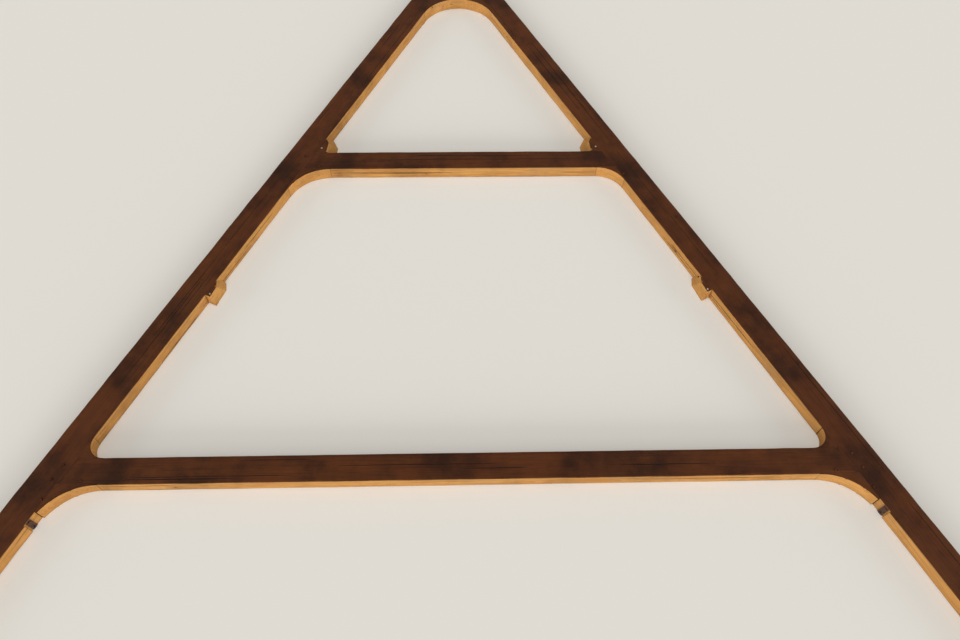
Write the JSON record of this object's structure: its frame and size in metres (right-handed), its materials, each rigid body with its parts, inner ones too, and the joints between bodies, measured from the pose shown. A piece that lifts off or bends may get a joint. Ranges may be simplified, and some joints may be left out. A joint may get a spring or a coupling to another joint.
{
  "type": "wooden roof truss",
  "caption": "Steep timber A-frame roof truss with two collar beams, curved knees under the collars, a rounded inner apex and iron straps across the rafter soffits.",
  "frame": {"origin": "centre of the back face's box, on the level floor that the truss lies on", "axes": "+X across the span, +Y from the feet to the apex, +Z through the thickness, out of the front face"},
  "size_m": [16.4304, 17.07, 0.239],
  "materials": {
    "rafter_timber": "aged planed softwood, matt, honey brown",
    "collar_timber": "aged planed softwood, matt, honey brown",
    "knee_timber": "aged sawn timber, curved, matt",
    "peg_oak": "cleft oak, end grain showing",
    "strap_iron": "forged black iron with light rust",
    "bolt_iron": "forged black iron with light rust"
  },
  "bodies": {
    "root": {"apex_peg": "peg_oak", "corner_fillet_left": "knee_timber", "corner_fillet_right": "knee_timber", "lower_collar": "collar_timber", "lower_collar_peg_left_bottom": "peg_oak", "lower_collar_peg_left_top": "peg_oak", "lower_collar_peg_right_bottom": "peg_oak", "lower_collar_peg_right_top": "peg_oak", "lower_knee_left": "knee_timber", "lower_knee_peg_left_collar": "peg_oak", "lower_knee_peg_left_rafter": "peg_oak", "lower_knee_peg_right_collar": "peg_oak", "lower_knee_peg_right_rafter": "peg_oak", "lower_knee_right": "knee_timber", "rafter_left": "rafter_timber", "rafter_right": "rafter_timber", "ridge_knee": "knee_timber", "ridge_knee_peg_left": "peg_oak", "ridge_knee_peg_right": "peg_oak", "strap_bolt_left_back": "bolt_iron", "strap_bolt_left_front": "bolt_iron", "strap_bolt_right_back": "bolt_iron", "strap_bolt_right_front": "bolt_iron", "strap_left": "strap_iron", "strap_right": "strap_iron", "upper_collar": "collar_timber", "upper_collar_peg_left_bottom": "peg_oak", "upper_collar_peg_left_top": "peg_oak", "upper_collar_peg_right_bottom": "peg_oak", "upper_collar_peg_right_top": "peg_oak", "upper_knee_left": "knee_timber", "upper_knee_peg_left_collar": "peg_oak", "upper_knee_peg_left_rafter": "peg_oak", "upper_knee_peg_right_collar": "peg_oak", "upper_knee_peg_right_rafter": "peg_oak", "upper_knee_right": "knee_timber"}
  },
  "joints": []
}
